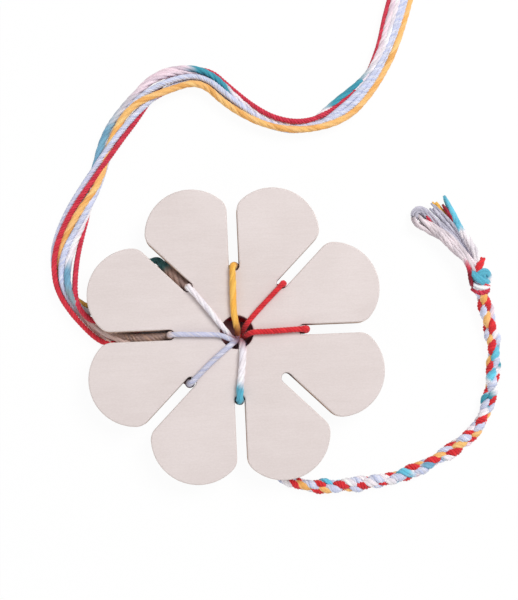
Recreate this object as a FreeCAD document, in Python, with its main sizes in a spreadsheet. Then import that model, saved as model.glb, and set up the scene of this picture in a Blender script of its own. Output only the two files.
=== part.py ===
import FreeCAD, Part
import math
import os
import Sketcher

# A flower-shaped wooden braiding disc with a braid in progress. Seven yarns run from the braid's
# point in the centre hole over the top face, down through seven of the eight slots and away under
# the disc in one loose bundle. The finished braid leaves the hole below and ends in a knot and a
# tassel. The origin is on the table under the hole, +Z is up and the slots lie along the axes and
# their diagonals. Lengths are in millimetres.

os.makedirs("parts", exist_ok=True)
doc = FreeCAD.newDocument("braiding_disc")
Vector = FreeCAD.Vector
UP = Vector(0, 0, 1)

SIZES = {
    # The disc: eight round petals on a hub, with a slot between each two
    "petal_count": 8,
    "petal_reach": 34.9,
    "petal_radius": 15.1,
    "petal_corner": 5.0,
    "board_thickness": 4.5,
    "edge_rounding": 0.5,
    "slot_width": 3.3,
    "slot_start": 20.0,
    "hole_diameter": 10.7,
    # The yarns and the braid
    "yarn_diameter": 2.0,
    "yarn_gap": 0.35,
    "layer_gap": 0.2,
    "wood_gap": 0.25,
    "braid_diameter": 4.4,
    "head_x": 0.8,
    "head_y": -1.4,
    "head_depth": 3.0,
    "head_gap": 0.2,
    # The knot and the bundle's coil
    "knot_diameter": 7.6,
    "knot_length": 8.0,
    "coil_radius": 42.0,
    "coil_gap": 0.6,
    "coil_loops": 1.75,
}

sheet = doc.addObject("Spreadsheet::Sheet", "sizes")
for row, (name, value) in enumerate(SIZES.items(), 1):
    sheet.set("A%d" % row, name)
    sheet.set("B%d" % row, str(value))
    sheet.setAlias("B%d" % row, name)
doc.recompute()


def size(name):
    return float(sheet.get(name))


# Heights and radii that follow from the sizes. Under the disc the yarns lie in two layers, and the
# disc lies on them or on the braid, whichever is thicker.
yarn_radius = size("yarn_diameter") / 2
braid_radius = size("braid_diameter") / 2
knot_lift = (size("knot_diameter") - size("braid_diameter")) / 2
low = yarn_radius
high = low + size("yarn_diameter") + size("layer_gap")
underside = max(size("braid_diameter"), high + yarn_radius) + size("wood_gap")
in_slot = underside + 0.4 * size("board_thickness")
top_face = underside + size("board_thickness")
strand_height = top_face + size("wood_gap") + yarn_radius
slot_seat = size("slot_start") + size("wood_gap") + yarn_radius
fold_radius = yarn_radius + size("wood_gap") + size("edge_rounding")
bundle_ring = size("yarn_diameter") + size("yarn_gap")
bundle_radius = bundle_ring + yarn_radius
head = Vector(size("head_x"), size("head_y"), top_face - size("head_depth"))
head_radius = size("hole_diameter") / 2 - math.hypot(head.x, head.y) - size("head_gap")

parts = []


def plane_of(body, role):
    return next(f for f in body.Origin.OriginFeatures if f.Role == role)


def new_sketch(body, role, name):
    sketch = body.newObject("Sketcher::SketchObject", name)
    sketch.AttachmentSupport = (plane_of(body, role), "")
    sketch.MapMode = "FlatFace"
    return sketch


def add_circle(sketch, x_formula, y_formula, radius_formula, x, y, radius):
    """A circle whose centre and radius follow formulas of the sheet; x, y and radius start it there."""
    index = sketch.addGeometry(Part.Circle(Vector(x, y, 0), UP, radius))
    places = (("DistanceX", x, x_formula), ("DistanceY", y, y_formula))
    for kind, start, formula in places:
        if formula is None:
            on_axis = -2 if kind == "DistanceX" else -1
            sketch.addConstraint(Sketcher.Constraint("PointOnObject", index, 3, on_axis))
        else:
            row = sketch.addConstraint(Sketcher.Constraint(kind, -1, 1, index, 3, start))
            sketch.setExpression("Constraints[%d]" % row, formula)
    row = sketch.addConstraint(Sketcher.Constraint("Radius", index, radius))
    sketch.setExpression("Constraints[%d]" % row, radius_formula)


def add_pad(body, sketch, name):
    pad = body.newObject("PartDesign::Pad", name)
    pad.Profile = sketch
    pad.setExpression("Length", "sizes.board_thickness")
    return pad


def add_through_pocket(body, sketch, name):
    before = body.Tip.Shape.Volume
    pocket = body.newObject("PartDesign::Pocket", name)
    pocket.Profile = sketch
    pocket.Type = "ThroughAll"
    pocket.Reversed = True
    doc.recompute()
    assert pocket.Shape.Volume < before, name + " cuts nothing"
    return pocket


def add_pattern(body, feature, name):
    pattern = body.newObject("PartDesign::PolarPattern", name)
    pattern.Originals = [feature]
    pattern.Axis = (plane_of(body, "Z_Axis"), [""])
    pattern.Angle = 360
    pattern.setExpression("Occurrences", "sizes.petal_count")
    body.Tip = pattern
    doc.recompute()
    return pattern


def make_disc():
    """The board: hub, petals, slots and hole, with rounded petal corners and softened edges."""
    body = doc.addObject("PartDesign::Body", "wooden_disc")
    half = math.pi / size("petal_count")
    reach, radius = size("petal_reach"), size("petal_radius")

    hub = new_sketch(body, "XY_Plane", "hub_outline")
    hub_radius = "sizes.petal_reach * cos(180 deg / sizes.petal_count)"
    add_circle(hub, None, None, hub_radius, 0, 0, reach * math.cos(half))
    add_pad(body, hub, "hub")
    doc.recompute()

    petal = new_sketch(body, "XY_Plane", "petal_outline")
    centre_x = "sizes.petal_reach * cos(180 deg / sizes.petal_count)"
    centre_y = "sizes.petal_reach * sin(180 deg / sizes.petal_count)"
    x, y = reach * math.cos(half), reach * math.sin(half)
    add_circle(petal, centre_x, centre_y, "sizes.petal_radius", x, y, radius)
    petals = add_pad(body, petal, "petal")
    doc.recompute()
    add_pattern(body, petals, "petals")

    slot = new_sketch(body, "XY_Plane", "slot_outline")
    add_slot_outline(slot)
    slot_cut = add_through_pocket(body, slot, "slot")
    add_pattern(body, slot_cut, "slots")

    hole = new_sketch(body, "XY_Plane", "hole_outline")
    add_circle(hole, None, None, "sizes.hole_diameter / 2", 0, 0, size("hole_diameter") / 2)
    add_through_pocket(body, hole, "centre_hole")

    board, corner_edges = body.Tip, petal_corner_edges(body)
    corners = body.newObject("PartDesign::Fillet", "petal_corners")
    corners.Base = (board, corner_edges)
    corners.setExpression("Radius", "sizes.petal_corner")
    doc.recompute()

    softened = body.newObject("PartDesign::Fillet", "softened_edges")
    softened.Base = (corners, flat_faces(corners.Shape))
    softened.setExpression("Radius", "sizes.edge_rounding")
    two_layers = "2 * sizes.yarn_diameter + sizes.layer_gap"
    lift = "max(sizes.braid_diameter; %s) + sizes.wood_gap" % two_layers
    body.setExpression("Placement.Base.z", lift)
    doc.recompute()
    return body


def add_slot_outline(sketch):
    """A slot along +X: a round inner end and two parallel sides that run out past the petals."""
    half_width = size("slot_width") / 2
    inner = size("slot_start") + half_width
    outer = size("petal_reach") + size("petal_radius")
    corners = [Vector(inner, half_width, 0), Vector(outer, half_width, 0)]
    corners += [Vector(outer, -half_width, 0), Vector(inner, -half_width, 0)]
    upper = sketch.addGeometry(Part.LineSegment(corners[0], corners[1]))
    end = sketch.addGeometry(Part.LineSegment(corners[1], corners[2]))
    lower = sketch.addGeometry(Part.LineSegment(corners[2], corners[3]))
    round_end = Part.Circle(Vector(inner, 0, 0), UP, half_width)
    arc = sketch.addGeometry(Part.ArcOfCircle(round_end, math.pi / 2, 1.5 * math.pi))
    rules = [
        ("Coincident", upper, 2, end, 1),
        ("Coincident", end, 2, lower, 1),
        ("Tangent", arc, 1, upper, 1),
        ("Tangent", arc, 2, lower, 2),
        ("Horizontal", upper),
        ("Vertical", end),
        ("PointOnObject", arc, 3, -1),
    ]
    for rule in rules:
        sketch.addConstraint(Sketcher.Constraint(*rule))
    sizes = [
        (("Radius", arc, half_width), "sizes.slot_width / 2"),
        (("DistanceX", -1, 1, arc, 3, inner), "sizes.slot_start + sizes.slot_width / 2"),
        (("DistanceX", -1, 1, upper, 2, outer), "sizes.petal_reach + sizes.petal_radius"),
    ]
    for rule, formula in sizes:
        row = sketch.addConstraint(Sketcher.Constraint(*rule))
        sketch.setExpression("Constraints[%d]" % row, formula)


def petal_corner_edges(body):
    """The upright edges where a petal's round meets the sides of its slots."""
    found = []
    for number, edge in enumerate(body.Shape.Edges, 1):
        start, end = edge.Vertexes[0].Point, edge.Vertexes[-1].Point
        upright = abs(start.x - end.x) + abs(start.y - end.y) < 1e-6 and abs(start.z - end.z) > 1
        if upright and math.hypot(start.x, start.y) > size("petal_reach"):
            found.append("Edge%d" % number)
    assert len(found) == 2 * size("petal_count"), "petal corners found: %d" % len(found)
    return found


def flat_faces(shape):
    """The names of the board's upper and lower face."""
    level = [n for n, f in enumerate(shape.Faces, 1) if abs(f.normalAt(0, 0).z) > 0.999]
    return ["Face%d" % n for n in level]


def turn_at(before, point, after):
    return (point - before).getAngle(after - point)


def bend_radii(points, folds):
    """Each corner's arc: as large as its runs allow, or the size of the edge that it goes round."""
    radii = {}
    for i in range(1, len(points) - 1):
        run_in, run_out = (points[i] - points[i - 1]).Length, (points[i + 1] - points[i]).Length
        half_turn = turn_at(points[i - 1], points[i], points[i + 1]) / 2
        largest = 0.45 * min(run_in, run_out) / math.tan(half_turn)
        radii[i] = folds.get(i, largest)
    return radii


def stretch(points, radii, first=None, last=None):
    """Straight runs joined by tangent arcs, from the middle of run first to the middle of run last."""
    start = points[0] if first is None else (points[first] + points[first + 1]) * 0.5
    end = points[-1] if last is None else (points[last] + points[last + 1]) * 0.5
    corners = range(1 if first is None else first + 1, len(points) - 1 if last is None else last + 1)
    edges, here = [], start
    for i in corners:
        inward = (points[i] - points[i - 1]).normalize()
        outward = (points[i + 1] - points[i]).normalize()
        half_turn = turn_at(points[i - 1], points[i], points[i + 1]) / 2
        reach = radii[i] * math.tan(half_turn)
        bisector = (outward - inward).normalize()
        centre = points[i] + bisector * (radii[i] / math.cos(half_turn))
        arc_start, arc_end = points[i] - inward * reach, points[i] + outward * reach
        edges.append(Part.LineSegment(here, arc_start).toShape())
        edges.append(Part.Arc(arc_start, centre - bisector * radii[i], arc_end).toShape())
        here = arc_end
    edges.append(Part.LineSegment(here, end).toShape())
    return Part.Wire(edges)


def facing(direction):
    return FreeCAD.Rotation(UP, direction)


def make_tube(label, path, radius_formula):
    """A round tube along a path, named after its label."""
    route = doc.addObject("Part::Feature", label + "_route")
    route.Shape = path
    first = path.OrderedEdges[0]
    section = doc.addObject("Part::Circle", label + "_section")
    section.setExpression("Radius", radius_formula)
    section.Placement = FreeCAD.Placement(first.valueAt(first.FirstParameter), facing(first.tangentAt(0)))
    tube = doc.addObject("Part::Sweep", label)
    tube.Sections = [section]
    tube.Spine = (route, ["Edge%d" % n for n in range(1, len(path.Edges) + 1)])
    tube.Solid = True
    tube.Frenet = False
    doc.recompute()
    expected = math.pi * section.Radius.Value**2 * path.Length
    share = tube.Shape.Volume / expected
    assert abs(share - 1) < 0.02, "%s holds %.3f of its section times its length" % (label, share)
    return tube


# Each yarn's slot, counted counter-clockwise from +X, the height at which it turns away under its
# seat, its places under the disc and its places as the bundle draws together, chosen by eye as x, y
# and height
YARNS = {
    "north": (
        2,
        low,
        [(-9.5, 23.0, low), (-20.8, 20.6, low), (-32.0, 15.6, low), (-40.4, 12.4, low)],
        [(-48.6, 11.4, low)],
    ),
    "northeast": (
        1,
        high,
        [(6.5, 16.9, high), (-3.5, 17.3, high), (-15.0, 18.7, high), (-26.0, 15.6, high)]
        + [(-34.8, 9.9, high)],
        [(-43.2, 8.2, high - 0.1), (-48.7, 11.8, high + 0.6)],
    ),
    "east": (
        0,
        low,
        [(13.5, 4.2, low), (3.0, 7.0, low), (-8.0, 6.6, low), (-19.0, 4.2, low)]
        + [(-29.0, 0.4, low), (-36.2, -1.9, low), (-42.3, -0.7, low)],
        [(-47.8, 4.1, low), (-51.8, 9.7, low)],
    ),
    "south": (
        6,
        high,
        [(-6.8, -17.6, high), (-13.2, -12.2, high), (-22.0, -7.4, high), (-31.5, -3.2, high)]
        + [(-40.2, 0.6, high)],
        [(-46.9, 4.9, high), (-52.0, 9.6, high + 1.7)],
    ),
    "southwest": (
        5,
        high,
        [(-22.2, -12.0, high), (-30.0, -8.6, high), (-36.6, -5.0, high), (-42.6, -1.4, high)],
        [(-48.7, 3.5, high), (-53.4, 8.6, high)],
    ),
    "west": (
        4,
        in_slot,
        [(-28.6, -0.1, high + 1.7), (-34.2, 0.4, high + 0.4), (-39.6, 2.9, high)],
        [(-45.1, 6.3, high), (-50.6, 10.6, high)],
    ),
    "northwest": (
        3,
        in_slot,
        [(-19.0, 19.0, high + 2.4), (-22.4, 22.4, high), (-28.2, 22.6, high), (-34.8, 19.6, high)]
        + [(-41.0, 15.6, high)],
        [(-47.1, 14.5, high)],
    ),
}

# The middle of the bundle from its exit at the disc's left edge to the coil
BUNDLE = [
    (-53.6, 13.7),
    (-55.6, 21.1),
    (-55.0, 29.6),
    (-51.3, 40.5),
    (-44.8, 53.3),
    (-38.1, 66.4),
    (-31.0, 77.4),
    (-20.7, 85.8),
    (-8.8, 87.4),
    (2.7, 80.6),
    (14.3, 72.8),
    (27.4, 70.4),
    (40.2, 76.0),
    (49.9, 84.9),
    (56.3, 95.7),
    (60.8, 107.0),
    (64.6, 118.4),
    (69.6, 130.8),
    (74.2, 144.0),
]

# Each yarn's place where the bundle starts, in degrees round the middle yarn from the inner side
# over the top, and the turn that the bundle makes from each point of its route to the next
PLACES = {
    "northwest": 0,
    "northeast": 60,
    "south": 120,
    "southwest": 180,
    "east": 240,
    "north": 300,
    "west": None,
}
TWIST = -15


def polar(radius, degrees, height):
    angle = math.radians(degrees)
    return Vector(radius * math.cos(angle), radius * math.sin(angle), height)


def strand_points(angle, foot_height):
    """From the braid's point over the rim of the hole, along the top face and down through the slot."""
    seat = polar(slot_seat, angle, strand_height)
    flat = Vector(seat.x - head.x, seat.y - head.y, 0).normalize()
    across = head.x * flat.x + head.y * flat.y
    rim_radius = size("hole_diameter") / 2
    to_rim = -across + math.sqrt(across**2 - head.x**2 - head.y**2 + rim_radius**2)
    rim = Vector(head.x, head.y, strand_height) + flat * to_rim
    start = head + (rim - head).normalize() * head_radius
    return [start, rim, seat, polar(slot_seat, angle, foot_height)]


def ring_place(degrees):
    """A yarn's distance to the inner side and upward from the middle of the bundle."""
    if degrees is None:
        return 0, 0
    angle = math.radians(degrees)
    return bundle_ring * math.cos(angle), bundle_ring * math.sin(angle)


def bundle_points(place):
    """One yarn's line in the bundle, which turns slowly round its middle and ends straight."""
    middle = [Vector(x, y, bundle_radius) for x, y in BUNDLE]
    last = len(middle) - 1
    points = []
    for i, centre in enumerate(middle):
        ahead = (middle[min(i + 1, last)] - middle[max(i - 1, 0)]).normalize()
        turned = place if place is None else place + TWIST * min(i, last - 1)
        inward, upward = ring_place(turned)
        points.append(centre + ahead.cross(UP) * inward + UP * upward)
    return points


def make_yarn(name):
    """One yarn in three stretches: over the disc, under it, and free in the bundle."""
    slot, foot_height, under, gathering = YARNS[name]
    top = strand_points(360 * slot / size("petal_count"), foot_height)
    below = [Vector(*place) for place in under]
    points = top + below + [Vector(*place) for place in gathering] + bundle_points(PLACES[name])
    seat, foot = len(top) - 2, len(top) - 1
    edge = foot + len(below)
    radii = bend_radii(points, {1: fold_radius, seat: fold_radius, foot: size("yarn_diameter")})
    print(name, "yarn radii", [round(radii[i], 1) for i in sorted(radii)])
    radius = "sizes.yarn_diameter / 2"
    parts.append(make_tube("strand_" + name, stretch(points, radii, None, seat), radius))
    parts.append(make_tube("under_" + name, stretch(points, radii, seat, edge), radius))
    parts.append(make_tube("free_" + name, stretch(points, radii, edge, None), radius))


def coil_path(start, ahead):
    """A straight start, then a flat spiral of quarter turns, each a little tighter than the last."""
    pitch = 2 * bundle_radius + size("coil_gap")
    radius, step = size("coil_radius"), pitch / 4
    straight = ahead * (2 * bundle_radius)
    edges = [Part.LineSegment(start, start + straight).toShape()]
    start, outward = start + straight, ahead.cross(UP)
    centre = start - outward * radius
    for _ in range(round(4 * size("coil_loops"))):
        middle = centre + (outward + ahead).normalize() * radius
        end = centre + ahead * radius
        edges.append(Part.Arc(start, middle, end).toShape())
        outward, ahead = ahead, outward * -1
        start, centre, radius = end, centre + outward * step, radius - step
    return Part.Wire(edges)


def least_gap(path, diameter):
    """The least gap of a tube to itself, between places more than half a turn apart."""
    spacing = 2.0
    points = path.discretize(Distance=spacing)
    apart = math.ceil(math.pi * size("coil_radius") / spacing)
    pairs = ((p, q) for i, p in enumerate(points) for q in points[i + apart :])
    return min((p - q).Length for p, q in pairs) - diameter


def make_coil():
    """The bundle's put-away length, wound into a coil just beyond the stretch that lies free."""
    last, before = [Vector(x, y, bundle_radius) for x, y in (BUNDLE[-1], BUNDLE[-2])]
    path = coil_path(last, (last - before).normalize())
    print("coil gap to itself", round(least_gap(path, 2 * bundle_radius), 2))
    parts.append(make_tube("yarn_coil", path, "1.5 * sizes.yarn_diameter + sizes.yarn_gap"))


# The braid's places under the disc, out to the right and round to the knot, chosen by eye as x, y
# and height
BRAID = [
    (2.6, -9.2, braid_radius),
    (5.0, -20.0, braid_radius),
    (6.4, -31.0, braid_radius),
    (8.6, -40.4, braid_radius),
    (13.4, -46.9, braid_radius),
    (21.0, -50.0, braid_radius),
    (31.0, -50.3, braid_radius),
    (41.5, -49.4, braid_radius),
    (51.5, -47.8, braid_radius),
    (60.6, -44.2, braid_radius),
    (69.0, -39.6, braid_radius),
    (76.6, -34.6, braid_radius),
    (81.6, -26.4, braid_radius),
    (84.8, -17.2, braid_radius),
    (86.2, -7.2, braid_radius + 0.05 * knot_lift),
    (85.0, 2.6, braid_radius + 0.35 * knot_lift),
    (83.2, 11.0, braid_radius + 0.9 * knot_lift),
]


def make_braid():
    """The braid: its point in the hole, the bend under the disc and the length on the table."""
    foot = Vector(head.x, head.y, braid_radius)
    points = [head, foot] + [Vector(*place) for place in BRAID]
    radii = bend_radii(points, {1: 0.9 * (head.z - braid_radius)})
    print("braid radii", [round(radii[i], 1) for i in sorted(radii)])
    length = make_tube("braid_length", stretch(points, radii), "sizes.braid_diameter / 2")
    point = doc.addObject("Part::Sphere", "braid_point")
    offset = "sqrt(sizes.head_x * sizes.head_x + sizes.head_y * sizes.head_y)"
    point.setExpression("Radius", "sizes.hole_diameter / 2 - sizes.head_gap - " + offset)
    point.Placement.Base = head
    braid = doc.addObject("Part::Fuse", "braid")
    braid.Base = length
    braid.Tool = point
    doc.recompute()
    parts.append(braid)
    return points[-1], (points[-1] - points[-2]).normalize()


def make_knot(base, ahead):
    """The knot that ends the braid: a barrel, cut square to the braid's width and the tassel's."""
    knot = doc.addObject("Part::Ellipsoid", "braid_knot")
    foot_angle = "acos(sizes.braid_diameter / sizes.knot_diameter)"
    head_angle = "acos((3 * sizes.yarn_diameter + 2 * sizes.yarn_gap) / sizes.knot_diameter)"
    rise = "(sin(%s) + sin(%s))" % (foot_angle, head_angle)
    knot.setExpression("Radius1", "sizes.knot_length / " + rise)
    knot.setExpression("Radius2", "sizes.knot_diameter / 2")
    knot.setExpression("Radius3", "sizes.knot_diameter / 2")
    knot.setExpression("Angle1", "-" + foot_angle)
    knot.setExpression("Angle2", head_angle)
    doc.recompute()
    depth = knot.Radius1.Value * math.sin(math.radians(-knot.Angle1.Value))
    knot.Placement = FreeCAD.Placement(base + ahead * depth, facing(ahead))
    parts.append(knot)
    return base + ahead * size("knot_length")


# The tassel's cut ends: degrees round the middle one at the knot, then the middle and the tip of each
TASSEL = {
    "turquoise": (0, (77.6, 32.6, low + 2.0), (72.9, 45.2, low + 1.2)),
    "red_stub": (60, (83.9, 21.2, low + 5.6), (84.8, 23.4, low + 6.0)),
    "white": (120, (73.2, 28.8, low + 3.4), (63.4, 38.4, low + 2.0)),
    "lilac": (180, (72.2, 26.4, low + 1.4), (62.8, 34.8, low + 0.4)),
    "lilac_inner": (240, (73.6, 31.0, low + 0.2), (66.0, 40.8, low + 0.1)),
    "yellow": (300, (75.2, 33.0, low + 0.1), (69.2, 42.6, low + 0.1)),
    "red": (None, (75.6, 30.8, low + 2.4), (71.2, 42.0, low + 2.4)),
}


def make_tassel(root, ahead):
    """Seven cut ends that fan out from the knot."""
    across = ahead.cross(UP).normalize()
    above = across.cross(ahead)
    for name, (place, middle, tip) in TASSEL.items():
        ring = 0 if place is None else bundle_ring
        angle = math.radians(place or 0)
        start = root + across * (ring * math.cos(angle)) + above * (ring * math.sin(angle))
        square = start + ahead * (0.5 * size("yarn_diameter"))
        points = [start, square, Vector(*middle), Vector(*tip)]
        path = stretch(points, bend_radii(points, {}))
        parts.append(make_tube("tassel_" + name, path, "sizes.yarn_diameter / 2"))


def write_parts():
    """Checks every object, then writes one file for each sub-part."""
    doc.recompute()
    for thing in doc.Objects:
        assert not {"Invalid", "Error"} & set(thing.State), thing.Name + " failed"
    for part in parts:
        shape = part.Shape
        assert not shape.isNull() and shape.isValid() and shape.Solids, part.Label + " isn't a valid solid"
    for part in parts:
        part.Shape.exportStep("parts/%s.step" % part.Label)
        print(part.Label, len(part.Shape.Solids), "solid,", round(part.Shape.Volume, 1), "cubic mm")


parts.append(make_disc())
for yarn in YARNS:
    make_yarn(yarn)
make_coil()
knot_base, knot_ahead = make_braid()
tassel_root = make_knot(knot_base, knot_ahead)
make_tassel(tassel_root, knot_ahead)
write_parts()
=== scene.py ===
import math
import random

import bpy
import numpy as np
from mathutils import Matrix, Vector


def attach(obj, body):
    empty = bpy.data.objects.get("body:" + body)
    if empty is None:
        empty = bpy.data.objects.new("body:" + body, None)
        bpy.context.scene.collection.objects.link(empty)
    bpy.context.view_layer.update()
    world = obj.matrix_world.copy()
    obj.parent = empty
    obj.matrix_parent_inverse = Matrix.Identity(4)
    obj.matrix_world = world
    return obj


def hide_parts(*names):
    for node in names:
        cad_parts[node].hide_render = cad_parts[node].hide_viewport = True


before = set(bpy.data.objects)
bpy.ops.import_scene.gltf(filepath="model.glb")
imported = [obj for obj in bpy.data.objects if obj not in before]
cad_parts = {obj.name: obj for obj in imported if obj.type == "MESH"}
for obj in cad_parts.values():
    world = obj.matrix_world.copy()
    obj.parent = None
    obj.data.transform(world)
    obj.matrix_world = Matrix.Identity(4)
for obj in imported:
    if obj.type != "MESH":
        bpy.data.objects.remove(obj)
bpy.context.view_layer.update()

# Routes and sizes are in millimetres, and materials, the floor and the lamps in metres.
MM = 0.001

# The photograph's camera. Its clipping distances are in metres.
CAMERA_PLACE = (-12.1, -20.9, 264.6)
CAMERA_ROWS = (
    (0.99637, -0.04703, 0.07101), (0.03802, 0.99164, 0.12327), (-0.07621, -0.12012, 0.98983),
)
CAMERA_LENS = 48.0
SENSOR = 36.0
CLIP = (0.01, 10)


def add_object(name, data):
    made = bpy.data.objects.new(name, data)
    bpy.context.scene.collection.objects.link(made)
    return made


def add_camera():
    data = bpy.data.cameras.new("photo_camera")
    data.lens = CAMERA_LENS
    data.sensor_width = SENSOR
    data.clip_start, data.clip_end = CLIP
    camera = add_object("photo_camera", data)
    turn = Matrix(CAMERA_ROWS).transposed().to_4x4()
    camera.matrix_world = Matrix.Translation(Vector(CAMERA_PLACE) * MM) @ turn
    bpy.context.scene.camera = camera


# As in the part's source: a yarn's height on the top face, in the two layers under the disc and
# in a slot, the radius where it turns down, the angle from slot to slot, the braid's point in the
# hole, its height flat on the table, and the knot's lift
ON_TOP = 10.25
LOW = 1.05
HIGH = 3.2
IN_SLOT = 5.5
SLOT_SEAT = 21.25
SLOT_ANGLE = 45
HEAD = np.array([0.8, -1.4, 4.9])
FLAT = 2.2
KNOT_LIFT = 1.6
BUNDLE_RADIUS = 3.35
COIL_RADIUS = 42.0
COIL_GAP = 0.6
COIL_LOOPS = 1.75

# The middle of the bundle from its exit at the disc's left edge to the coil
BUNDLE = [
    (-53.6, 13.7), (-55.6, 21.1), (-55.0, 29.6), (-51.3, 40.5), (-44.8, 53.3), (-38.1, 66.4),
    (-31.0, 77.4), (-20.7, 85.8), (-8.1, 88.1), (2.1, 79.8), (13.8, 70.9), (27.4, 68.5),
    (40.5, 74.9), (49.9, 84.9), (56.3, 95.7), (60.8, 107.0), (64.6, 118.4), (69.6, 130.8),
    (74.2, 144.0),
]

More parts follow.
